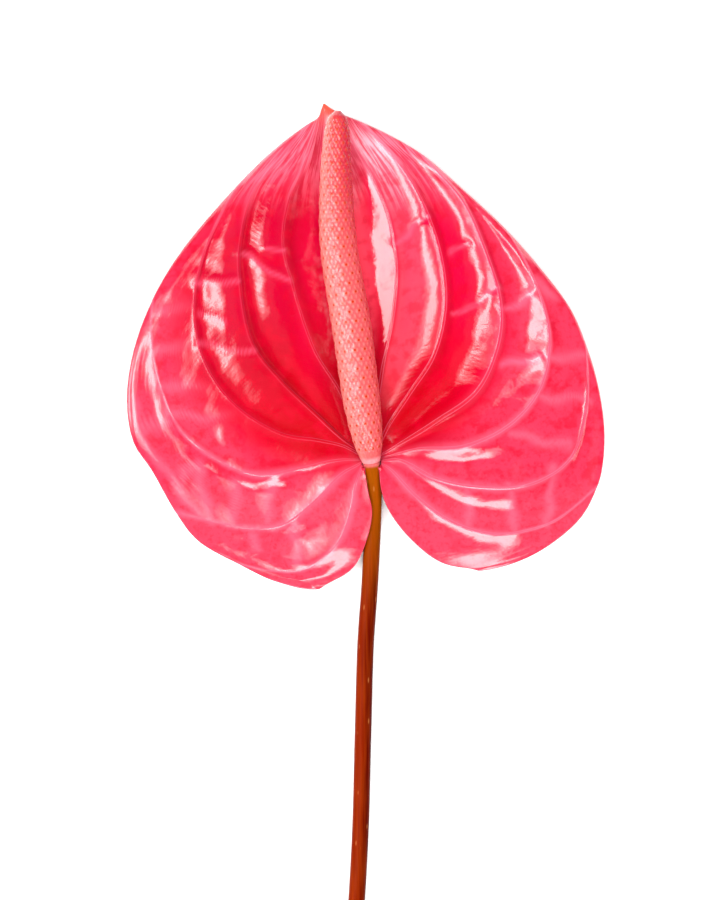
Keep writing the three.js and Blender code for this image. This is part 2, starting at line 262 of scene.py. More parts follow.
RIGHT_VEINS = [
    (
        18,
        [
            (1.2, 9, 2.6),
            (3.2, 25.5, 3.3),
            (6.1, 40, 4),
            (7.1, 54, 4.5),
            (4.7, 68.5, 4.6),
            (0.4, 78.5, 4.1),
            (-4.9, 88.3, 2.4),
        ],
        20,
    ),
    (
        36,
        [
            (4.7, 9.9, 3.8),
            (10.7, 19.3, 4.8),
            (17.2, 29.5, 5.5),
            (20.4, 43, 6.1),
            (19.2, 56.7, 6.5),
            (14.8, 70, 6.1),
            (7.5, 82.7, 4.4),
        ],
        19,
    ),
    (
        56,
        [
            (6.6, 4.3, 4.2),
            (17.6, 11.3, 5.6),
            (29.2, 20, 6.6),
            (35, 33, 7.2),
            (35.6, 44, 7.3),
            (31, 59.4, 6.8),
            (25.2, 72, 5.8),
        ],
        17,
    ),
    (
        74,
        [
            (12.7, 3.6, 6),
            (26.1, 4.7, 7.4),
            (38, 10.5, 7.8),
            (46.2, 20, 7.8),
            (49.1, 33, 7.6),
            (47, 44.5, 7),
            (42, 56, 6.2),
        ],
        15,
    ),
    (
        92,
        [
            (8.3, 0.6, 5.8),
            (18.2, -4.4, 6.4),
            (29.2, -6.6, 6.4),
            (42.9, -6, 5.8),
            (54.4, 0.8, 4.8),
            (59, 14, 4.8),
            (59.5, 25, 4.7),
        ],
        12,
    ),
    (
        110,
        [
            (5.2, -1.7, 5.8),
            (12.4, -9.1, 5.8),
            (22.5, -16.2, 4.5),
            (34.9, -19.5, 3.4),
            (49, -16.6, 2.8),
            (57, -11.2, 2.1),
        ],
        8,
    ),
]
# How deep each panel between two veins is hollowed, as a share of its width, left to right,
# and where across the panel the hollow is deepest.
PANEL_HOLLOWS = [0.02, 0.012, 0.08, 0.012, 0.055, 0.12, 0.04, 0.01, 0.08, 0.13, 0.13, 0.075, 0.11, 0.04]
PANEL_TROUGHS = [0.5, 0.6, 0.58, 0.6, 0.24, 0.2, 0.4, 0.5, 0.58, 0.46, 0.42, 0.5, 0.45, 0.5]
WIDEST_HOLLOW = 15  # a wider panel is hollowed no deeper than one of this width
VEIN_HEIGHT = 0.06
VEIN_HALF_WIDTH = 0.28
FAR_FROM_VEIN = 9  # the edges of the notch carry no vein
CORDED_FROM = (-26, 0)  # where across the blade the veins are faintest, and where full
FAINTEST_CORD = 0.25  # how high they are at the faintest, as a share
LOBE_CALM = 1.5  # how far both places move to the right, per millimetre down the lobes

# Stretches of the way from the collar to the rim, as shares of it.
VEINS_RISE = (0.02, 0.25)
HOLLOWS_SINK = (0, 0.14)
RIM_EASE_FROM = (0.75, 1)
RIM_EASE = 0.8  # how much of the veins and hollows is gone at its end
CALM_AT_COLLAR = (0.05, 0.3)
CALM_AT_RIM = (0.9, 1)
RIM_PULL_START = 0.35  # where the surface begins to turn from the veins' ends to the rim

# The raised cross veins and the soft net between them, as courses in the layout's plan.
CROSS_VEINS = [
    [(-47, 41.3), (-40.2, 38.8)],
    [(-47.5, 33), (-44, 33.3), (-38.2, 31), (-32.7, 31)],
    [(-48, 50.3), (-41.5, 49.2), (-36.5, 50.5)],
    [(-28.3, 59.4), (-24.2, 58.6)],
    [(-35.5, 57.5), (-33.3, 56.7), (-27.5, 51.7), (-22.5, 51)],
    [(22.3, 58), (27.2, 61)],
    [(22, 40.5), (26.1, 42.1), (30.5, 45.1), (34.1, 48.1)],
    [(37.1, 42.1), (45.4, 46.5)],
    [(36, 27.2), (46.5, 28.9)],
    [(7.7, 60.5), (15.1, 67.9)],
]
NET_VEINS = [
    [(-57.8, 20.9), (-44, 21.5)],
    [(-59.5, 31), (-47.5, 33)],
    [(-59.5, 42), (-49, 43)],
    [(-55.5, 14.5), (-52.5, 13.5), (-43, 12.4), (-37.7, 14.3)],
    [(-63.3, 9.9), (-55.6, 11)],
    [(-52, -3), (-47.6, 0.8)],
    [(-47.6, 0.8), (-46.5, -9), (-44, -15.8)],
    [(-37.1, -5), (-37.4, -16)],
    [(-27, -4), (-28.5, -16.5)],
    [(-32.2, -19.3), (-31.4, -24.2)],
    [(-21.5, -15), (-20, -27.5)],
    [(8.8, 49.5), (16.8, 50)],
    [(46.5, 18.2), (60.8, 17.3)],
    [(38.5, 8.8), (47.3, 5.8), (54.7, 5)],
    [(48.5, 29), (59.6, 29.5)],
    [(44, 50), (51, 45.5)],
    [(38, -6.5), (39.5, -18.5)],
    [(26.5, -6.5), (27, -17.5)],
    [(50, -2), (48.5, -16.5)],
    [(-65.5, 18.2), (-63.8, 11.8), (-63, 5.8), (-60.5, 1.9), (-55.6, -3), (-52.5, -8), (-46.5, -15.4)],
]
WOBBLE = 0.7  # how far both stray from their courses
WOBBLE_SIZE = 7  # from crest to crest
WOBBLE_WAVES = 8
WOBBLE_SEEDS = (11, 12)
CROSS_VEIN_HEIGHT = 0.1
CROSS_VEIN_HALF_WIDTH = 0.6
CROSS_VEIN_FADE = 2  # how far each runs out past its ends
CROSS_FOLD_HEIGHT = 0.3  # the soft fold that each lies on
CROSS_FOLD_HALF_WIDTH = 1.8
NET_SHARE = 0.25  # height of the net's folds, as a share of the cross veins'
HALO_HALF_WIDTH = 1.4  # the paler skin beside them

BOSS = (-38.6, 7.6, 3.4, 0.5)  # a round swelling: its place, radius and height
# Long low swells and dips beside the veins: place, half sizes, heading and height.
SWELLS = [(-27, 2, 10, 3.6, -20, -1.1), (24, 4.2, 15, 2.6, 4, 0.8), (-21, -21, 5, 4, 20, -0.7)]
# Uneven skin: height, size from crest to crest, number of waves and seed.
RIPPLES = [(0.14, 9, 14, 3), (0.04, 4, 16, 5)]
CALM_MIDDLE = 8  # where across the blade its skin is evenest
CALM_REACH = (8, 26)  # how far from there the ripples begin to grow and are full
CALM_SHARE = 0.45  # how high they are in the middle, as a share
LOBE_EVENNESS = 0.55  # how much lower they are on the lobes, as a share
RIM_CURL = 0.75  # how far the very rim turns down
RIM_CURL_REACH = 1.1  # and how far in from it that is felt

# Where the colours of the blade change.
PANEL_PACE = 14  # one panel across, in the material's own measure
VEINLET_SLANT = 0.6  # how steeply the side veinlets slant across the panels
SHADED_MIDDLE = 1.6  # how far to the right of each vein the painted shade is deepest
SHADED_REACH = 1.7
VALLEY = (-8, 39, 47, 42)  # middle and half sizes of the deep red part, where the painted shade is strongest
VALLEY_EDGE = (0.82, 1.1)  # where it fades out, as shares of those half sizes
LEFT_SHADE_FROM = (-16, -23)  # where across it the painted shade on the left side is deepest
LEFT_SHADE_ALONG = (10, 26)  # and where along it
LOBE_FROM = (-1, -13)  # where the paler skin of the lobes sets in
FAN_FROM = (66, 92)  # where the paler streaks and painted sheen towards the tip set in
PAINTED_FILL_END = (0.35, 0.8)  # where the painted light that fills the spadix's shadow ends across the panel right of the midrib
NEXT_FILL_SHARE = 0.55  # how strong that painted light is on the panel after that, beside it
NEXT_FILL_START = (0, 0.12)  # where across that panel it sets in
NEXT_FILL_END = (0.55, 0.85)  # and ends
BEAK_MIDDLE = (TIP[0] + 1, TIP[1])
BEAK_REACH = 5.5  # how far the salmon tip of the blade reaches

BLADE_SHARES = [0, 0.012, 0.028, 0.05, 0.08, 0.115, 0.155]  # columns across one panel
BLADE_SHARES += [step / 20 for step in range(4, 17)]
BLADE_SHARES += [0.845, 0.885, 0.92, 0.95, 0.972, 0.988]
BLADE_ROWS = 128
ROW_CROWDING = 1.2  # how much closer the rows stand towards the rim
RIM_ROWS = [0.0105, 0.0075, 0.0045, 0.002, 0.0007, 0]  # left to go, as shares of the blade
ROUNDING_STOP = 0.02  # how far in the rim's rounding stops, as a share of half the thickness


# ---- curves -------------------------------------------------------------------------


def through(points, places):
    """Points at places from 0 to 1 on a smooth curve through the given ones."""
    points = np.asarray(points, float)
    line = np.vstack([2 * points[0] - points[1], points, 2 * points[-1] - points[-2]])
    spans = len(points) - 1
    at = np.clip(places, 0, 1) * spans
    first = np.minimum(at.astype(int), spans - 1)
    t = (at - first)[:, None]
    before, start, end, after = (line[first + step] for step in range(4))
    gaps = [
        np.sqrt(np.linalg.norm(late - early, axis=1))[:, None]
        for early, late in ((before, start), (start, end), (end, after))
    ]
    leave = (start - before) / gaps[0] - (end - before) / (gaps[0] + gaps[1]) + (end - start) / gaps[1]
    arrive = (end - start) / gaps[1] - (after - start) / (gaps[1] + gaps[2]) + (after - end) / gaps[2]
    return (
        (2 * t**3 - 3 * t**2 + 1) * start
        + (t**3 - 2 * t**2 + t) * leave * gaps[1]
        + (3 * t**2 - 2 * t**3) * end
        + (t**3 - t**2) * arrive * gaps[1]
    )


def by_length(points, shares):
    """(points at shares of the length of the smooth curve through the given ones, length)"""
    places = np.linspace(0, 1, 201)
    steps = np.linalg.norm(np.diff(through(points, places), axis=0), axis=1)
    lengths = np.concatenate([[0], np.cumsum(steps)])
    return through(points, np.interp(np.asarray(shares) * lengths[-1], lengths, places)), lengths[-1]


def smoothstep(value, low, high):
    """0 up to low, 1 from high on, with soft ends. low may also be the greater one."""
    t = np.clip((value - low) / (high - low), 0, 1)
    return t * t * (3 - 2 * t)


def near(distance, reach):
    """1 at no distance, falling off softly with the reach."""
    return np.exp(-((distance / reach) ** 2))


def distance_to(course, x, y):
    """(plan distance to a course of straight pieces, how far past its ends)"""
    nearest = np.full(x.shape, np.inf)
    past = np.zeros(x.shape)
    last = len(course) - 2
    for index, (start, end) in enumerate(zip(course, course[1:])):
        dx, dy = end[0] - start[0], end[1] - start[1]
        length = math.hypot(dx, dy)
        along = ((x - start[0]) * dx + (y - start[1]) * dy) / length
        free = along.copy()
        along = np.clip(along, 0, length)
        away = np.hypot(x - start[0] - along * dx / length, y - start[1] - along * dy / length)
        over = np.where(free < 0, -free if index == 0 else 0, 0)
        over = over + np.where(free > length, free - length if index == last else 0, 0)
        closer = away < nearest
        past = np.where(closer, over, past)
        nearest = np.where(closer, away, nearest)
    return nearest, past


def ripples(x, y, size, waves, seed):
    """Soft unevenness, mostly from -1 to 1, about size millimetres from crest to crest."""
    draw = np.random.default_rng(seed)
    total = np.zeros(x.shape)
    for _ in range(waves):
        turn, start = draw.uniform(0, 2 * math.pi, 2)
        length = size * draw.uniform(0.7, 1.5)
        across = x * math.cos(turn) + y * math.sin(turn)
        total += np.sin(2 * math.pi * across / length + start)
    return total / math.sqrt(2 * waves)


# ---- meshes -------------------------------------------------------------------------


def finish_piece(name, mesh, material):
    """Turns a bmesh in layout millimetres into a piece that stands for the node of that name."""
    bmesh.ops.translate(mesh, verts=mesh.verts, vec=Vector((*layout_shift, 0)))
    bmesh.ops.scale(mesh, verts=mesh.verts, vec=Vector((MM, MM, MM)))
    bmesh.ops.recalc_face_normals(mesh, faces=mesh.faces)
    for face in mesh.faces:
        face.smooth = True
    data = bpy.data.meshes.new(name + "_mesh")
    mesh.to_mesh(data)
    mesh.free()
    piece = bpy.data.objects.new(name + "_skin", data)
    bpy.context.scene.collection.objects.link(piece)
    data.materials.append(material)
    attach(piece, "root")
    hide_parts(name)


def grid_of(columns, rows, marks):
    """A flat bmesh grid whose vertices know their column and row, with room for the marks."""
    mesh = bmesh.new()
    for name in marks:
        mesh.verts.layers.float.new(name)
    bmesh.ops.create_grid(mesh, x_segments=columns - 1, y_segments=rows - 1, size=1)
    column_of = mesh.verts.layers.int.new("column")
    row_of = mesh.verts.layers.int.new("row")
    for vert in mesh.verts:
        vert[column_of] = round((vert.co.x + 1) / 2 * (columns - 1))
        vert[row_of] = round((vert.co.y + 1) / 2 * (rows - 1))
    return mesh, column_of, row_of


def add_attributes(mesh, verts, places, fields):
    """Writes one number per vertex for each named field of the surface."""
    for name, field in fields.items():
        layer = mesh.verts.layers.float[name]
        for vert, place in zip(verts, places):
            vert[layer] = float(field[place])


def drop_grid_layers(mesh):
    """Takes out the layers that only served to place the vertices."""
    for name in ("column", "row"):
        mesh.verts.layers.int.remove(mesh.verts.layers.int[name])


# ---- the spathe ---------------------------------------------------------------------


def blade_courses():
    """The courses from the collar to the rim, left to right: notch edge, veins, notch edge."""
    left = [[collar_point(turn), *course, LEFT_RIM[meets]] for turn, course, meets in LEFT_VEINS]
    right = [[collar_point(turn), *course, RIGHT_RIM[meets]] for turn, course, meets in RIGHT_VEINS]
    midrib = [collar_point(0), *MIDRIB, TIP]
    return [LEFT_RIM[: RIM_CORNER + 1], *left, midrib, *right, RIGHT_RIM[: RIM_CORNER + 1]]


def rim_points(count):
    """Points of the rim, for numbers that grow by one from each course to the next."""
    midrib = len(LEFT_VEINS) + 1
    steps = np.arange(midrib + 1)
    left_stops = [RIM_CORNER, *(vein[2] for vein in LEFT_VEINS), len(LEFT_RIM) - 1]
    right_stops = [len(RIGHT_RIM) - 1, *(vein[2] for vein in RIGHT_VEINS), RIM_CORNER]
    left = np.interp(count, steps, left_stops) / (len(LEFT_RIM) - 1)
    right = np.interp(count - midrib, steps, right_stops) / (len(RIGHT_RIM) - 1)
    return np.where((count < midrib)[:, None], through(LEFT_RIM, left), through(RIGHT_RIM, right))


def bare_blade():
    """The smooth surface through the courses and the rim, as rows from the collar outwards,
    with how far along each row is, each column's panel and share of the way across it, and
    the lengths and widths of the panels."""
    courses = blade_courses()
    panels = len(courses) - 1
    along = 1 - (1 - np.linspace(0, 1, BLADE_ROWS, endpoint=False)) ** ROW_CROWDING
    along = np.concatenate([along[along < 1 - 2 * RIM_ROWS[0]], 1 - np.array(RIM_ROWS)])
    paths, lengths = zip(*(by_length(course, along) for course in courses))
    paths = np.array(paths)

    panel = np.append(np.repeat(np.arange(panels), len(BLADE_SHARES)), panels - 1)
    share = np.append(np.tile(BLADE_SHARES, panels), 1.0)
    place = (panel + share) / panels
    surface = np.array([through(paths[:, row], place) for row in range(len(along))])
    pull = rim_points(panel + share) - through(paths[:, -1], place)
    to_rim = np.maximum(0, (along - RIM_PULL_START) / (1 - RIM_PULL_START)) ** 2
    surface = surface + to_rim[:, None, None] * pull[None]
    widths = np.linalg.norm(np.diff(paths, axis=0), axis=2).T[:, panel]
    return surface, along, panel, share, np.array(lengths)[panel], widths


def vein_net(x, y):
    """How strong the cross veins, the folds under the net and its paler skin are, up to 1."""
    cross, fold, halo = np.zeros(x.shape), np.zeros(x.shape), np.zeros(x.shape)
    strays = [WOBBLE * ripples(x, y, WOBBLE_SIZE, WOBBLE_WAVES, seed) for seed in WOBBLE_SEEDS]
    for course in CROSS_VEINS + NET_VEINS:
        away, past = distance_to(course, x + strays[0], y + strays[1])
        there = near(past, CROSS_VEIN_FADE)
        soft = there * near(away, CROSS_FOLD_HALF_WIDTH)
        halo = np.maximum(halo, there * near(away, HALO_HALF_WIDTH))
        if course in CROSS_VEINS:
            cross = np.maximum(cross, there * near(away, CROSS_VEIN_HALF_WIDTH))
            fold = np.maximum(fold, soft)
        else:
            fold = np.maximum(fold, NET_SHARE * soft)
    return cross, fold, halo


def swell_height(x, y):
    """The height of the round boss and the long swells."""
    total = BOSS[3] * np.exp(-((np.hypot(x - BOSS[0], y - BOSS[1]) / BOSS[2]) ** 4))
    for at_x, at_y, half_length, half_width, turn, height in SWELLS:
        ahead, aside = math.cos(math.radians(turn)), math.sin(math.radians(turn))
        lengthways = ((x - at_x) * ahead + (y - at_y) * aside) / half_length
        sideways = ((y - at_y) * ahead - (x - at_x) * aside) / half_width
        total = total + height * np.exp(-(lengthways**2) - sideways**2)
    return total


def blade_fields():
    """The middle surface of the blade and what its material needs to know, as grids."""
    surface, along, panel, share, length, widths = bare_blade()
    x, y = surface[..., 0], surface[..., 1]
    panels = panel[-1] + 1
    go = along[:, None]
    run = go * length[None]
    to_rim = (1 - go) * length[None]
    ease = 1 - RIM_EASE * smoothstep(go, *RIM_EASE_FROM)
    grow = smoothstep(go, *VEINS_RISE) * ease
    sink = smoothstep(go, *HOLLOWS_SINK) * ease
    calm = smoothstep(go, *CALM_AT_COLLAR) * (1 - smoothstep(go, *CALM_AT_RIM))
    lobe = smoothstep(y, *LOBE_FROM)

    # The main veins stand up and the panels between them are hollowed.
    trough = np.array(PANEL_TROUGHS)[panel]
    before = np.maximum(1, trough / (1 - trough))
    after = np.maximum(1, (1 - trough) / trough)
    bow = (share / trough) ** before * ((1 - share) / (1 - trough)) ** after
    depth = np.array(PANEL_HOLLOWS)[panel] * np.minimum(widths, WIDEST_HOLLOW) * sink
    beside_notch = ((panel == 0) & (share < 0.5)) | ((panel == panels - 1) & (share > 0.5))
    to_vein = np.where(beside_notch[None], FAR_FROM_VEIN, np.minimum(share, 1 - share) * widths)
    rightward = x + LOBE_CALM * np.minimum(y, 0)
    corded = FAINTEST_CORD + (1 - FAINTEST_CORD) * smoothstep(rightward, *CORDED_FROM)
    surface[..., 2] += VEIN_HEIGHT * corded * grow * near(to_vein, VEIN_HALF_WIDTH) - depth * bow

    # The net, the swells and the ripples lie over that, and the rim curls down.
    cross, fold, halo = vein_net(x, y)
    surface[..., 2] += (CROSS_VEIN_HEIGHT * cross + CROSS_FOLD_HEIGHT * fold) * calm
    surface[..., 2] += swell_height(x, y)
    uneven = CALM_SHARE + (1 - CALM_SHARE) * smoothstep(np.abs(x - CALM_MIDDLE), *CALM_REACH)
    uneven = uneven * calm * (1 - LOBE_EVENNESS * lobe)
    surface[..., 2] += uneven * sum(height * ripples(x, y, *wave) for height, *wave in RIPPLES)
    surface[..., 2] -= RIM_CURL * np.exp(-to_rim / RIM_CURL_REACH)

    outer = np.hypot((x - VALLEY[0]) / VALLEY[2], (y - VALLEY[1]) / VALLEY[3])
    outer = smoothstep(outer, *VALLEY_EDGE)
    midrib = len(LEFT_VEINS) + 1
    beside_fill = smoothstep(share, *NEXT_FILL_START) * (1 - smoothstep(share, *NEXT_FILL_END))
    # Painted light filling the spadix's cast shadow on the panel right of the midrib and the next.
    painted_fill = np.where(panel == midrib, 1 - smoothstep(share, *PAINTED_FILL_END), 0)
    painted_fill = np.where(panel == midrib + 1, NEXT_FILL_SHARE * beside_fill, painted_fill)
    across = (panel + share)[None]
    fields = {
        "to_vein": to_vein,
        "shaded": near(share * widths - SHADED_MIDDLE, SHADED_REACH) * grow,
        "corded": corded,
        "cross": cross * calm,
        "halo": halo * calm,
        "hollow": bow[None] * grow,
        "outer": outer,
        # Painted shade on the inner left, where the blade faces away from the light.
        "left_shade": (1 - outer) * smoothstep(x, *LEFT_SHADE_FROM) * smoothstep(y, *LEFT_SHADE_ALONG),
        "to_rim": to_rim,
        "run": run,
        "fan": smoothstep(y, *FAN_FROM),
        "lobe": lobe,
        "painted_fill": painted_fill[None] * calm,
        "beak": near(np.hypot(x - BEAK_MIDDLE[0], y - BEAK_MIDDLE[1]), BEAK_REACH),
        "place": across * PANEL_PACE + 0 * x,
        "lane": run - VEINLET_SLANT * np.abs(across - panels / 2) * PANEL_PACE,
    }
    return surface, along, fields


def blade_sides(surface, along, fields):
    """The upper and lower faces of the blade, rounded together at its rim."""
    across = np.gradient(surface, axis=1)
    outward = np.gradient(surface, axis=0)
    normal = np.cross(across, outward)
    normal /= np.linalg.norm(normal, axis=2)[..., None]
    half = (BLADE_THICKNESS + BLADE_BASE_EXTRA * (1 - along) ** COLLAR_FADE) / 2
    half = half[:, None] + 0 * surface[..., 2]
    from_rim = np.clip(fields["to_rim"] / half, ROUNDING_STOP, 1)
    half = half * np.sqrt(1 - (1 - from_rim) ** 2)
    middle = surface.copy()
    lift = np.maximum(0, half - middle[..., 2])
    middle[..., 2] += lift
    upper = middle + normal * half[..., None]
    lower = middle - normal * half[..., None]
    lower[..., 2] = np.where(lift > 0, 0, np.maximum(0, lower[..., 2]))
    return upper, lower


def make_spathe(material):
    rows, columns = upper_side.shape[:2]
    mesh, column_of, row_of = grid_of(columns, rows, [*blade_marks, "under"])
    faces = mesh.faces[:]
    risen = bmesh.ops.extrude_face_region(mesh, geom=faces, use_keep_orig=True)
    tops = [item for item in risen["geom"] if isinstance(item, bmesh.types.BMVert)]
    on_top = set(tops)
    bottoms = [vert for vert in mesh.verts if vert not in on_top]
    for verts, side in ((tops, upper_side), (bottoms, lower_side)):
        places = [(vert[row_of], vert[column_of]) for vert in verts]
        for vert, place in zip(verts, places):
            vert.co = side[place]
        add_attributes(mesh, verts, places, blade_marks)
    under = mesh.verts.layers.float["under"]
    for vert in bottoms:
        vert[under] = 1.0
    drop_grid_layers(mesh)
    finish_piece("spathe", mesh, material)


# ---- swept pieces -------------------------------------------------------------------


def sweep_frames(points, shares):
    """Centres along a course with the two directions across it."""
    centres, length = by_length(points, shares)
    ahead, _ = by_length(points, np.minimum(np.asarray(shares) + 1e-3, 1))
    behind, _ = by_length(points, np.maximum(np.asarray(shares) - 1e-3, 0))
    heading = ahead - behind
    heading /= np.linalg.norm(heading, axis=1)[:, None]
    side = np.cross((0, 0, 1), heading)
    side /= np.linalg.norm(side, axis=1)[:, None]
    up = np.cross(heading, side)
    return centres, side, up, length


def swept_mesh(centres, side, up, radii, fields):
    """A closed bmesh round a course, radii being a grid of rows by columns round it."""
    rows, columns = radii.shape
    turn = np.linspace(0, 2 * math.pi, columns)
    ring = side[:, None] * np.cos(turn)[None, :, None] + up[:, None] * np.sin(turn)[None, :, None]
    skin = centres[:, None] + ring * radii[..., None]
    mesh, column_of, row_of = grid_of(columns, rows, fields)
    verts = mesh.verts[:]
    places = [(vert[row_of], vert[column_of]) for vert in verts]
    for vert, place in zip(verts, places):
        vert.co = skin[place]
    add_attributes(mesh, verts, places, fields)
    drop_grid_layers(mesh)
    bmesh.ops.remove_doubles(mesh, verts=mesh.verts, dist=1e-4)
    open_edges = [edge for edge in mesh.edges if edge.is_boundary]
    caps = bmesh.ops.holes_fill(mesh, edges=open_edges, sides=0)["faces"]
    bmesh.ops.poke(mesh, faces=caps)
    return mesh


def make_spadix(material):
    coarse = np.linspace(0, 1, 400)
    radius_there = np.interp(coarse, SPADIX_SHARES, SPADIX_RADII)
    density = 1 / np.maximum(radius_there, CLOSEST_ROWS_AT)
    counted = np.concatenate([[0], np.cumsum((density[1:] + density[:-1]) / 2)])
    counted = counted / counted[-1] * FLORET_ROWS

    # Two families of spirals, first and second, cross between the florets.
    shares = np.linspace(0, 1, SPADIX_MESH_ROWS)
    centres, side, up, length = sweep_frames(SPADIX_PATH, shares)
    radius = np.interp(shares, SPADIX_SHARES, SPADIX_RADII)[:, None]
    row = np.interp(shares, coarse, counted)[:, None]
    pitch = (length / (len(shares) - 1) / np.maximum(np.gradient(row[:, 0]), 1e-6))[:, None]
    turn = np.linspace(0, 1, FLORETS_ROUND * FLORET_STEPS + 1)[None, :] * FLORETS_ROUND
    first = turn + row / 2
    second = turn - row / 2
    off_first = first - np.round(first)
    off_second = second - np.round(second)
    dome = (1 - (2 * np.abs(off_first)) ** 4) * (1 - (2 * np.abs(off_second)) ** 4)
    tepals = np.abs(np.sin(2 * math.pi * first) * np.sin(2 * math.pi * second))
    sideways = (off_first + off_second) / 2 * 2 * math.pi * radius / FLORETS_ROUND
    lengthways = (off_first - off_second) * pitch
    away = np.hypot(sideways, lengthways)
    stigma = near(away, STIGMA_RADIUS)
    present = (smoothstep(shares, *FLORETS_FROM) * (1 - smoothstep(shares, *FLORETS_TO)))[:, None]
    upper = smoothstep(shares, *UPPER_PART)[:, None]
    relief = DOME_HEIGHT * (dome - 1) + (TEPAL_HEIGHT + UPPER_TEPAL_EXTRA * upper) * tepals
    relief = relief + (STIGMA_HEIGHT + UPPER_STIGMA_EXTRA * upper) * stigma
    radii = radius - FLORET_BED + relief * present
    fields = {
        "stigma": stigma * present,
        "seam": (1 - dome) * present,
        "tepal_highlight": tepals * present,
        "run": shares[:, None] * length + 0 * dome,
        "shaded_side": (1 - np.cos(2 * math.pi * turn / FLORETS_ROUND)) / 2 + 0 * dome,
    }
    mesh = swept_mesh(centres, side, up, radii, fields)
    finish_piece("spadix", mesh, material)


def make_peduncle(material):
    rows, columns = PEDUNCLE_MESH
    shares = np.linspace(0, 1, rows)
    centres, side, up, length = sweep_frames(PEDUNCLE_PATH, shares)
    radii = np.full((rows, columns), PEDUNCLE_RADIUS)
    turn = np.linspace(0, 2 * math.pi, columns)[None, :]
    fields = {
        "run": shares[:, None] * length + 0 * radii,
        "around": turn * PEDUNCLE_RADIUS + 0 * radii,
        "blush_and_shade": (1 + np.cos(turn)) / 2 + 0 * radii,
    }
    mesh = swept_mesh(centres, side, up, radii, fields)
    end_y = centres[-1][1]
    for vert in mesh.verts:
        at_cut = 1 - (vert.co.y - end_y) / CUT_REACH
        vert.co.y -= CUT_SLANT * (PEDUNCLE_RADIUS * 2 - vert.co.z) * min(1, max(0, at_cut))
    finish_piece("peduncle", mesh, material)


# ---- materials ----------------------------------------------------------------------

# The colour sockets of a mix node, by number.
MIX_FACTOR, MIX_A, MIX_B, MIX_RESULT = 0, 6, 7, 2


def colour(text):
    """A linear colour from an sRGB hex value."""
    parts = [int(text[start : start + 2], 16) / 255 for start in (1, 3, 5)]
    return (*(p / 12.92 if p <= 0.04045 else ((p + 0.055) / 1.055) ** 2.4 for p in parts), 1.0)


def add(tree, kind, inputs=None, **settings):
    """Adds a node with its settings, and values or links for its inputs."""
    node = tree.nodes.new(kind)
    for name, value in settings.items():
        setattr(node, name, value)
    for name, value in (inputs or {}).items():
        if isinstance(value, bpy.types.NodeSocket):
            tree.links.new(value, node.inputs[name])
        else:
            node.inputs[name].default_value = value
    return node


def new_material(name):
    material = bpy.data.materials.new(name)
    material.use_nodes = True
    tree = material.node_tree
    tree.nodes.clear()
    output = add(tree, "ShaderNodeOutputMaterial")
    return material, tree, output


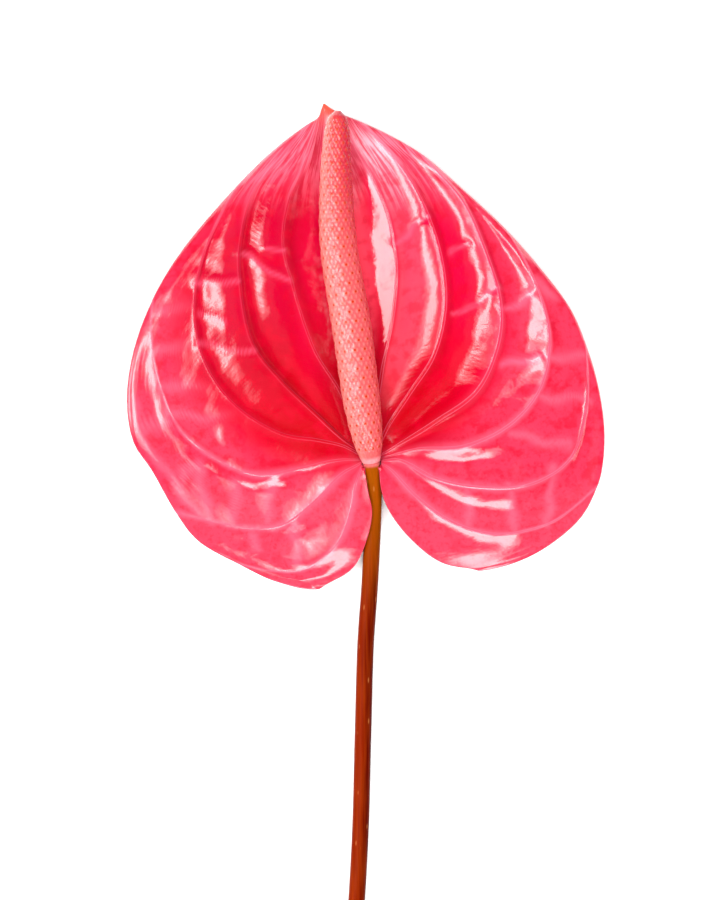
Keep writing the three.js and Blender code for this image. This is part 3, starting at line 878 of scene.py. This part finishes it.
def waxy_spathe():
    """Anthurium bract: a thick waxy skin, so it has sharp highlights over a deep clear red,
    paler where the veins run close under the skin and duller on the back."""
    material, tree, output = new_material("waxy anthurium bract")
    names = ["to_vein", "halo", "cross", "corded", "shaded", "hollow", "outer", "left_shade", "lobe"]
    names += ["painted_fill", "fan", "beak", "run", "place", "lane", "under"]
    marks = {name: add(tree, "ShaderNodeAttribute", attribute_name=name).outputs["Fac"] for name in names}
    outer = marks["outer"]
    spot = add(tree, "ShaderNodeTexCoord").outputs["Object"]

    # The hollows are painted a deeper, truer red than the ridges as painted shade, and blotches of about 12
    # mm lie over both.
    deep = add(tree, "ShaderNodeMath", {0: marks["hollow"], 1: 0.5}, operation="MULTIPLY").outputs[0]
    blotch = add(tree, "ShaderNodeTexNoise", {"Vector": spot, "Scale": 85, "Detail": 3}).outputs["Fac"]
    blotch = add(tree, "ShaderNodeMapRange", {"Value": blotch, "From Min": 0.35, "From Max": 0.7}).outputs[0]
    patchy = add(tree, "ShaderNodeMath", {0: blotch, 1: 0.35}, operation="MULTIPLY").outputs[0]

    # Painted shade darkens the skin to the right of each vein, where its flank faces away from the light, and
    # more so on the inner left and down in the cup at the collar.
    inner = add(tree, "ShaderNodeMath", {0: 1, 1: outer}, operation="SUBTRACT").outputs[0]
    shade = add(tree, "ShaderNodeMath", {0: inner, 1: 0.55, 2: 0.25}, operation="MULTIPLY_ADD").outputs[0]
    shade = add(tree, "ShaderNodeMath", {0: shade, 1: marks["shaded"]}, operation="MULTIPLY").outputs[0]
    left_shade = add(tree, "ShaderNodeMath", {0: marks["left_shade"], 1: 0.6}, operation="MULTIPLY").outputs[0]
    # Painted shade down in the cup at the collar; the same share also dulls the coat there.
    at_collar = add(
        tree,
        "ShaderNodeMapRange",
        {"Value": marks["run"], "From Min": 62, "From Max": 12, "To Min": 0, "To Max": 0.85},
        interpolation_type="SMOOTHSTEP",
    ).outputs[0]
    at_collar = add(tree, "ShaderNodeMath", {0: at_collar, 1: inner}, operation="MULTIPLY").outputs[0]

    # The two lobes beside the stalk are paler. Deeper red blots a few millimetres wide lie
    # between the veins, fainter on the lobes.
    paler = add(tree, "ShaderNodeMath", {0: marks["lobe"], 1: 0.2}, operation="MULTIPLY").outputs[0]
    blot = add(tree, "ShaderNodeTexNoise", {"Vector": spot, "Scale": 300, "Detail": 4}).outputs["Fac"]
    blot = add(
        tree,
        "ShaderNodeMapRange",
        {"Value": blot, "From Min": 0.45, "From Max": 0.66, "To Min": 0, "To Max": 0.55},
        interpolation_type="SMOOTHSTEP",
    ).outputs[0]
    clear = add(tree, "ShaderNodeMath", {0: 1, 1: marks["halo"]}, operation="SUBTRACT").outputs[0]
    blot = add(tree, "ShaderNodeMath", {0: blot, 1: clear}, operation="MULTIPLY").outputs[0]
    even = add(tree, "ShaderNodeMath", {0: paler, 1: -2.5, 2: 1}, operation="MULTIPLY_ADD").outputs[0]
    blot = add(tree, "ShaderNodeMath", {0: blot, 1: even}, operation="MULTIPLY").outputs[0]

    # The skin's cells are too fine to show, so they are drawn about 1 mm across, as a faint
    # speckle on the outer part.
    fleck = add(tree, "ShaderNodeTexNoise", {"Vector": spot, "Scale": 900, "Detail": 2}).outputs["Fac"]
    cells = add(
        tree,
        "ShaderNodeMapRange",
        {"Value": fleck, "From Min": 0.5, "From Max": 0.72, "To Min": 0, "To Max": 0.4},
    ).outputs[0]
    cells = add(tree, "ShaderNodeMath", {0: cells, 1: outer}, operation="MULTIPLY").outputs[0]

    # The skin is paler for a millimetre or two to each side of every vein.
    near_vein = add(
        tree,
        "ShaderNodeMapRange",
        {"Value": marks["to_vein"], "From Min": 0, "From Max": 2.4, "To Min": 1, "To Max": 0},
        interpolation_type="SMOOTHSTEP",
    ).outputs[0]
    near_vein = add(tree, "ShaderNodeMath", {0: near_vein, 1: marks["halo"]}, operation="MAXIMUM").outputs[0]
    paleness = add(tree, "ShaderNodeMath", {0: outer, 1: 0.42, 2: 0.03}, operation="MULTIPLY_ADD").outputs[0]
    near_vein = add(tree, "ShaderNodeMath", {0: near_vein, 1: paleness}, operation="MULTIPLY").outputs[0]

    # To the right of the midrib painted light fills the shadow that the spadix casts, broken up by the blots.
    mottled = add(tree, "ShaderNodeMath", {0: blot, 1: -0.8, 2: 0.9}, operation="MULTIPLY_ADD").outputs[0]
    painted_fill = add(tree, "ShaderNodeMath", {0: marks["painted_fill"], 1: mottled}, operation="MULTIPLY").outputs[0]

    # Towards the tip the veinlets run close together and show as paler streaks, a little over
    # 1 mm wide, with painted sheen over them; beside the midrib they carry a pale painted highlight.
    strips = add(tree, "ShaderNodeCombineXYZ", {"X": marks["place"], "Y": marks["run"]}).outputs[0]
    strips = add(tree, "ShaderNodeVectorMath", {0: strips, 1: (1, 0.12, 1)}, operation="MULTIPLY").outputs[0]
    strips = add(tree, "ShaderNodeTexNoise", {"Vector": strips, "Scale": 0.7, "Detail": 4}).outputs["Fac"]
    strips = add(
        tree,
        "ShaderNodeMapRange",
        {"Value": strips, "From Min": 0.42, "From Max": 0.62, "To Min": 0.1, "To Max": 0.8},
        interpolation_type="SMOOTHSTEP",
    ).outputs[0]
    fan = add(tree, "ShaderNodeMath", {0: marks["fan"], 1: strips}, operation="MULTIPLY").outputs[0]
    painted_sheen = add(tree, "ShaderNodeMath", {0: fan, 1: painted_fill}, operation="MULTIPLY").outputs[0]
    painted_sheen = add(tree, "ShaderNodeMath", {0: painted_sheen, 1: 2}, operation="MULTIPLY", use_clamp=True).outputs[0]

    # Each main vein shows as two pale threads with a darker line between them.
    thread_off = add(tree, "ShaderNodeMath", {0: marks["to_vein"], 1: 0.24}, operation="SUBTRACT").outputs[0]
    thread_off = add(tree, "ShaderNodeMath", {0: thread_off}, operation="ABSOLUTE").outputs[0]
    thread = add(
        tree,
        "ShaderNodeMapRange",
        {"Value": thread_off, "From Min": 0.04, "From Max": 0.17, "To Min": 1, "To Max": 0},
        interpolation_type="SMOOTHSTEP",
    ).outputs[0]
    thread = add(tree, "ShaderNodeMath", {0: thread, 1: marks["corded"]}, operation="MULTIPLY").outputs[0]
    thread_tint = add(tree, "ShaderNodeMath", {0: thread, 1: 0.34}, operation="MULTIPLY").outputs[0]
    cross_tint = add(tree, "ShaderNodeMath", {0: marks["cross"], 1: 0.4}, operation="MULTIPLY").outputs[0]

    # The colours lie over each other in this order, each with its own share.
    layers = [
        (deep, "#bc021c"),
        (patchy, "#c00436"),
        (outer, "#c22a44"),
        (shade, "#9c001e"),
        (left_shade, "#8c0014"),
        (at_collar, "#980000"),
        (paler, "#ca5060"),
        (blot, "#b0001e"),
        (cells, "#b0001e"),
        (near_vein, "#d45a72"),
        (painted_fill, "#f4465c"),
        (fan, "#ee748a"),
        (painted_sheen, "#f8acb8"),
        (thread_tint, "#d86680"),
        (cross_tint, "#d4506e"),
        (marks["beak"], "#c84c38"),
        (marks["under"], "#c43c52"),
    ]
    skin = colour("#c60036")
    for share, over in layers:
        inputs = {MIX_FACTOR: share, MIX_A: skin, MIX_B: colour(over)}
        skin = add(tree, "ShaderNodeMix", inputs, data_type="RGBA").outputs[MIX_RESULT]

    # Side veinlets a little over 1 mm apart run across the panels and tear the edges of
    # the highlights.
    lanes = add(tree, "ShaderNodeCombineXYZ", {"X": marks["place"], "Y": marks["lane"]}).outputs[0]
    lanes = add(tree, "ShaderNodeVectorMath", {0: lanes, 1: (0.4, 1, 1)}, operation="MULTIPLY").outputs[0]
    veinlets = add(tree, "ShaderNodeTexNoise", {"Vector": lanes, "Scale": 0.8, "Detail": 3}).outputs["Fac"]
    tear = add(tree, "ShaderNodeMath", {0: inner, 1: 0.035, 2: 0.018}, operation="MULTIPLY_ADD").outputs[0]
    height = add(tree, "ShaderNodeMath", {0: veinlets, 1: tear}, operation="MULTIPLY").outputs[0]
    height = add(tree, "ShaderNodeMath", {0: fleck, 1: 0.02, 2: height}, operation="MULTIPLY_ADD").outputs[0]
    height = add(tree, "ShaderNodeMath", {0: thread, 1: 0.03, 2: height}, operation="MULTIPLY_ADD").outputs[0]
    bump = add(tree, "ShaderNodeBump", {"Strength": 1, "Distance": MM, "Height": height}).outputs[0]

    # The back is duller, and so is the skin down at the collar.
    rough = add(
        tree,
        "ShaderNodeMapRange",
        {"Value": marks["under"], "From Min": 0, "From Max": 1, "To Min": 0.09, "To Max": 0.45},
    ).outputs[0]
    gloss = add(tree, "ShaderNodeMath", {0: at_collar, 1: -0.7, 2: 0.7}, operation="MULTIPLY_ADD").outputs[0]
    shader = add(
        tree,
        "ShaderNodeBsdfPrincipled",
        {
            "Base Color": skin,
            "Roughness": rough,
            "IOR": 1.45,
            "Specular IOR Level": 0.35,
            "Normal": bump,
            "Coat Weight": gloss,
            "Coat Roughness": 0.05,
            "Coat Normal": bump,
        },
    )
    tree.links.new(shader.outputs[0], output.inputs["Surface"])
    return material


def floret_skin():
    """Spadix florets: fleshy tepals packed edge to edge, moist except on the duller side away from
    the light towards the tip, and each with an orange-red stigma that catches the light."""
    material, tree, output = new_material("fleshy anthurium florets")
    names = ["stigma", "seam", "tepal_highlight", "run", "shaded_side"]
    marks = {name: add(tree, "ShaderNodeAttribute", attribute_name=name).outputs["Fac"] for name in names}
    spot = add(tree, "ShaderNodeTexCoord").outputs["Object"]

    # The flesh is in patches of about 4 mm and redder towards the tip, and the tepals' crests carry a pale
    # painted highlight.
    to_tip = add(
        tree,
        "ShaderNodeMapRange",
        {"Value": marks["run"], "From Min": 52, "From Max": 92},
        interpolation_type="SMOOTHSTEP",
    ).outputs[0]
    patch = add(tree, "ShaderNodeTexNoise", {"Vector": spot, "Scale": 260, "Detail": 2}).outputs["Fac"]
    patch = add(tree, "ShaderNodeMath", {0: patch, 1: 0.5}, operation="MULTIPLY").outputs[0]
    tepal_highlight = add(
        tree,
        "ShaderNodeMapRange",
        {"Value": marks["tepal_highlight"], "From Min": 0.35, "From Max": 0.95, "To Min": 0, "To Max": 0.32},
        interpolation_type="SMOOTHSTEP",
    ).outputs[0]

    # Painted shade darkens the side away from the light to crimson towards the tip, and painted sheen turns
    # the lit side a pale buff.
    side_shade = add(
        tree,
        "ShaderNodeMapRange",
        {"Value": marks["shaded_side"], "From Min": 0.45, "From Max": 0.92},
        interpolation_type="SMOOTHSTEP",
    ).outputs[0]
    upward = add(tree, "ShaderNodeMath", {0: to_tip, 1: 0.75, 2: 0.25}, operation="MULTIPLY_ADD").outputs[0]
    side_shade = add(tree, "ShaderNodeMath", {0: side_shade, 1: upward}, operation="MULTIPLY").outputs[0]
    lit_side_sheen = add(
        tree,
        "ShaderNodeMapRange",
        {"Value": marks["shaded_side"], "From Min": 0.35, "From Max": 0.05, "To Min": 0, "To Max": 0.35},
        interpolation_type="SMOOTHSTEP",
    ).outputs[0]

    # The foot is pale, and each floret has darker seams and an orange ring round its stigma.
    foot = add(
        tree,
        "ShaderNodeMapRange",
        {"Value": marks["run"], "From Min": 2.4, "From Max": 1, "To Min": 0, "To Max": 0.6},
        interpolation_type="SMOOTHSTEP",
    ).outputs[0]
    seam = add(tree, "ShaderNodeMath", {0: marks["seam"], 1: 0.2}, operation="MULTIPLY").outputs[0]
    ring = add(
        tree,
        "ShaderNodeMapRange",
        {"Value": marks["stigma"], "From Min": 0.05, "From Max": 0.6, "To Min": 0, "To Max": 0.4},
    ).outputs[0]
    core = add(
        tree,
        "ShaderNodeMapRange",
        {"Value": marks["stigma"], "From Min": 0.4, "From Max": 0.8},
        interpolation_type="SMOOTHSTEP",
    ).outputs[0]
    fresh = add(tree, "ShaderNodeMath", {0: to_tip, 1: -0.6, 2: 1}, operation="MULTIPLY_ADD").outputs[0]
    core = add(tree, "ShaderNodeMath", {0: core, 1: fresh}, operation="MULTIPLY").outputs[0]

    # The colours lie over each other in this order, each with its own share.
    layers = [
        (to_tip, "#b2242a"),
        (patch, "#cc545c"),
        (tepal_highlight, "#de9088"),
        (side_shade, "#a00024"),
        (lit_side_sheen, "#d89080"),
        (foot, "#dc8c92"),
        (seam, "#bc3c4e"),
        (ring, "#c04e30"),
        (core, "#a02408"),
    ]
    flesh = colour("#c04c48")
    for share, over in layers:
        inputs = {MIX_FACTOR: share, MIX_A: flesh, MIX_B: colour(over)}
        flesh = add(tree, "ShaderNodeMix", inputs, data_type="RGBA").outputs[MIX_RESULT]

    # The stigmas are the smoothest. The grain of the flesh is drawn about 0.8 mm across, as
    # coarse as it needs to be to show.
    rough = add(tree, "ShaderNodeMapRange", {"Value": core, "To Min": 0.28, "To Max": 0.14}).outputs[0]
    moist = add(tree, "ShaderNodeMath", {0: side_shade, 1: -0.9, 2: 1}, operation="MULTIPLY_ADD").outputs[0]
    grain = add(tree, "ShaderNodeTexNoise", {"Vector": spot, "Scale": 1300, "Detail": 3}).outputs["Fac"]
    bump = add(tree, "ShaderNodeBump", {"Strength": 1, "Distance": 0.2 * MM, "Height": grain}).outputs[0]
    shader = add(
        tree,
        "ShaderNodeBsdfPrincipled",
        {
            "Base Color": flesh,
            "Roughness": rough,
            "IOR": 1.42,
            "Specular IOR Level": 0.3,
            "Normal": bump,
            "Subsurface Weight": 0.08,
            "Subsurface Radius": (1, 0.3, 0.2),
            "Subsurface Scale": 1.5 * MM,
            "Coat Weight": moist,
            "Coat Roughness": 0.08,
            "Coat Normal": bump,
        },
    )
    tree.links.new(shader.outputs[0], output.inputs["Surface"])
    return material


def stalk_skin():
    """Flower stalk: a smooth cuticle over flesh that is orange-brown on one side and blushed dark
    red on the other, deepened there by painted shade on the side away from the light, with long
    faint fibres and short pale pores."""
    material, tree, output = new_material("russet stalk cuticle")
    names = ["run", "around", "blush_and_shade"]
    marks = {name: add(tree, "ShaderNodeAttribute", attribute_name=name).outputs["Fac"] for name in names}
    spot = add(tree, "ShaderNodeTexCoord").outputs["Object"]

    # The edge of the blushed side and its painted shade drifts in and out, about 4 mm across the stalk and 30
    # mm along it.
    drift = add(tree, "ShaderNodeVectorMath", {0: spot, 1: (1, 0.12, 1)}, operation="MULTIPLY").outputs[0]
    drift = add(tree, "ShaderNodeTexNoise", {"Vector": drift, "Scale": 260, "Detail": 2}).outputs["Fac"]
    drift = add(tree, "ShaderNodeMapRange", {"Value": drift, "From Min": 0.35, "From Max": 0.65}).outputs[0]
    drift = add(
        tree,
        "ShaderNodeMath",
        {0: drift, 1: 0.25, 2: marks["blush_and_shade"]},
        operation="MULTIPLY_ADD",
    ).outputs[0]
    red_shaded_side = add(
        tree,
        "ShaderNodeMapRange",
        {"Value": drift, "From Min": 0.35, "From Max": 0.95},
        interpolation_type="SMOOTHSTEP",
    ).outputs[0]

    # The top is olive brown, with a pink ring where the bract clasps it.
    near_top = add(
        tree,
        "ShaderNodeMapRange",
        {"Value": marks["run"], "From Min": 45, "From Max": 4, "To Min": 0, "To Max": 0.85},
        interpolation_type="SMOOTHSTEP",
    ).outputs[0]
    collar = add(
        tree,
        "ShaderNodeMapRange",
        {"Value": marks["run"], "From Min": 1.6, "From Max": 0.6},
        interpolation_type="SMOOTHSTEP",
    ).outputs[0]

    # The fibres are drawn about 0.7 mm wide, as coarse as they need to be to show. The pores
    # are about 2 mm apart round the stalk and 6 mm along it.
    fibres = add(tree, "ShaderNodeVectorMath", {0: spot, 1: (1, 0.04, 1)}, operation="MULTIPLY").outputs[0]
    fibres = add(tree, "ShaderNodeTexNoise", {"Vector": fibres, "Scale": 1500, "Detail": 3}).outputs["Fac"]
    fibre_tint = add(
        tree,
        "ShaderNodeMapRange",
        {"Value": fibres, "From Min": 0.4, "From Max": 0.75, "To Min": 0, "To Max": 0.35},
    ).outputs[0]
    lanes = add(tree, "ShaderNodeCombineXYZ", {"X": marks["around"], "Y": marks["run"]}).outputs[0]
    lanes = add(tree, "ShaderNodeVectorMath", {0: lanes, 1: (1, 0.28, 1)}, operation="MULTIPLY").outputs[0]
    pores = add(tree, "ShaderNodeTexVoronoi", {"Vector": lanes, "Scale": 0.55}).outputs["Distance"]
    pores = add(
        tree,
        "ShaderNodeMapRange",
        {"Value": pores, "From Min": 0.15, "From Max": 0.06, "To Min": 0, "To Max": 0.3},
    ).outputs[0]

    # The colours lie over each other in this order, each with its own share.
    layers = [
        (red_shaded_side, "#440200"),
        (near_top, "#844000"),
        (collar, "#c0585a"),
        (fibre_tint, "#9a3a08"),
        (pores, "#c8804a"),
    ]
    skin = colour("#701900")
    for share, over in layers:
        inputs = {MIX_FACTOR: share, MIX_A: skin, MIX_B: colour(over)}
        skin = add(tree, "ShaderNodeMix", inputs, data_type="RGBA").outputs[MIX_RESULT]

    bump = add(tree, "ShaderNodeBump", {"Strength": 0.6, "Distance": 0.2 * MM, "Height": fibres}).outputs[0]
    shader = add(
        tree,
        "ShaderNodeBsdfPrincipled",
        {
            "Base Color": skin,
            "Roughness": 0.3,
            "IOR": 1.4,
            "Specular IOR Level": 0.02,
            "Normal": bump,
        },
    )
    tree.links.new(shader.outputs[0], output.inputs["Surface"])
    return material


# ---- the flower ---------------------------------------------------------------------

blade, blade_along, blade_marks = blade_fields()
upper_side, lower_side = blade_sides(blade, blade_along, blade_marks)
both_sides = np.concatenate([upper_side.reshape(-1, 3), lower_side.reshape(-1, 3)])
layout_middle = (both_sides.min(0) + both_sides.max(0))[:2] / 2
spathe_low, spathe_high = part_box("spathe")
layout_shift = [(spathe_low[axis] + spathe_high[axis]) / 2 / MM - layout_middle[axis] for axis in (0, 1)]

make_peduncle(stalk_skin())
make_spathe(waxy_spathe())
make_spadix(floret_skin())


# ---- floor, light and camera --------------------------------------------------------


def matt_paper():
    """Seamless studio paper: matt and near white, faintly mottled every 25 mm or so."""
    material, tree, output = new_material("matt studio paper")
    spot = add(tree, "ShaderNodeTexCoord").outputs["Object"]
    mottle = add(tree, "ShaderNodeTexNoise", {"Vector": spot, "Scale": 40, "Detail": 4}).outputs["Fac"]
    inputs = {MIX_FACTOR: mottle, MIX_A: colour("#fbfbfb"), MIX_B: colour("#f6f6f5")}
    tone = add(tree, "ShaderNodeMix", inputs, data_type="RGBA").outputs[MIX_RESULT]
    shader = add(tree, "ShaderNodeBsdfPrincipled", {"Base Color": tone, "Roughness": 0.9})
    tree.links.new(shader.outputs[0], output.inputs["Surface"])
    return material


def lay_floor():
    mesh = bmesh.new()
    bmesh.ops.create_grid(mesh, x_segments=1, y_segments=1, size=FLOOR_REACH)
    bmesh.ops.translate(mesh, verts=mesh.verts, vec=Vector((0, 0, -FLOOR_DROP)))
    data = bpy.data.meshes.new("floor_mesh")
    mesh.to_mesh(data)
    mesh.free()
    floor = bpy.data.objects.new("floor", data)
    bpy.context.scene.collection.objects.link(floor)
    data.materials.append(matt_paper())


def hang_light(name, place, size, brightness, in_reflections):
    """A softbox that faces the flower, its power in step with its brightness and its size."""
    lamp = bpy.data.lights.new(name, "AREA")
    lamp.shape = "RECTANGLE"
    lamp.size, lamp.size_y = size
    lamp.energy = brightness * math.pi * lamp.size * lamp.size_y
    light = bpy.data.objects.new(name, lamp)
    light.location = place
    light.rotation_euler = (Vector(LIGHTS_AIM) - Vector(place)).to_track_quat("-Z", "Y").to_euler()
    light.visible_camera = False
    light.visible_glossy = in_reflections
    bpy.context.scene.collection.objects.link(light)


def hang_soft_light(name, place, size, brightness, spreads):
    """Softboxes of growing size at one place, so that the light fades out towards its edge."""
    for number, (spread, share) in enumerate(spreads):
        grown = [side + spread for side in size]
        hang_light(f"{name}_{number}", place, grown, brightness * share, True)


def set_camera():
    data = bpy.data.cameras.new("camera")
    data.sensor_width = SENSOR
    data.lens = SENSOR * CAMERA_HEIGHT / VIEW_HEIGHT
    camera = bpy.data.objects.new("camera", data)
    middle = [(VIEW_MIDDLE[axis] + layout_shift[axis]) * MM for axis in (0, 1)]
    camera.location = (*middle, CAMERA_HEIGHT + FLOWER_LEVEL * MM)
    bpy.context.scene.collection.objects.link(camera)
    bpy.context.scene.camera = camera


def light_world(brightness):
    world = bpy.data.worlds.new("studio")
    world.use_nodes = True
    world.node_tree.nodes["Background"].inputs["Color"].default_value = (1, 1, 1, 1)
    world.node_tree.nodes["Background"].inputs["Strength"].default_value = brightness
    bpy.context.scene.world = world


lay_floor()
hang_soft_light("left_softbox", (-0.62, 0.06, 1.12), (0.46, 0.24), 23, SOFT_EDGE)
hang_soft_light("near_softbox", (-0.02, -0.76, 0.96), (0.6, 0.28), 18, CRISP_EDGE)
hang_soft_light("low_softbox", (-1.2, 0.1, 0.75), (0.5, 0.24), 16, SOFT_EDGE)
hang_soft_light("window_softbox", (-0.4, 0, 1.6), (0.44, 0.6), 0.9, WIDE_EDGE)
hang_light("overhead_softbox", (0.7, 0.1, 1.7), (3, 3), 2.9, False)
light_world(0.03)
set_camera()
bpy.context.scene.view_settings.view_transform = "Standard"
